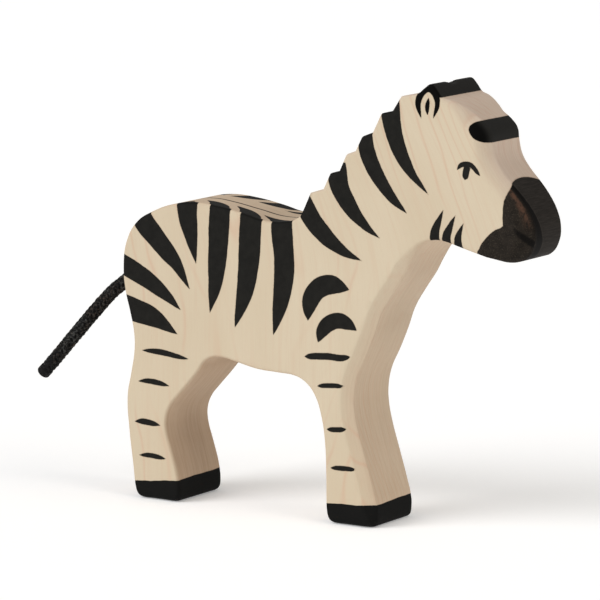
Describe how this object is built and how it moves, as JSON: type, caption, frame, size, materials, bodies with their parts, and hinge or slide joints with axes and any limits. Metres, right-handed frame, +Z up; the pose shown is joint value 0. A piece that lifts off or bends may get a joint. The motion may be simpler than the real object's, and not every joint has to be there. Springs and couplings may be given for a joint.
{
  "type": "zebra figurine",
  "caption": "Wooden zebra figurine with a stepped mane, cut in profile from a thick board, edges eased by hand, standing on two flat hooves, with a braided cord tail.",
  "frame": {"origin": "on the ground, under the middle of the wooden body's length and thickness", "axes": "+X towards the head, +Y across the board's thickness, +Z up"},
  "size_m": [0.1794, 0.023, 0.131],
  "materials": {
    "painted_maple": "bare sanded maple with hand-painted matt black stripes, hooves and muzzle",
    "black_cord": "braided black cord"
  },
  "bodies": {
    "root": {"body": "painted_maple", "tail_cord": "black_cord"}
  },
  "joints": []
}
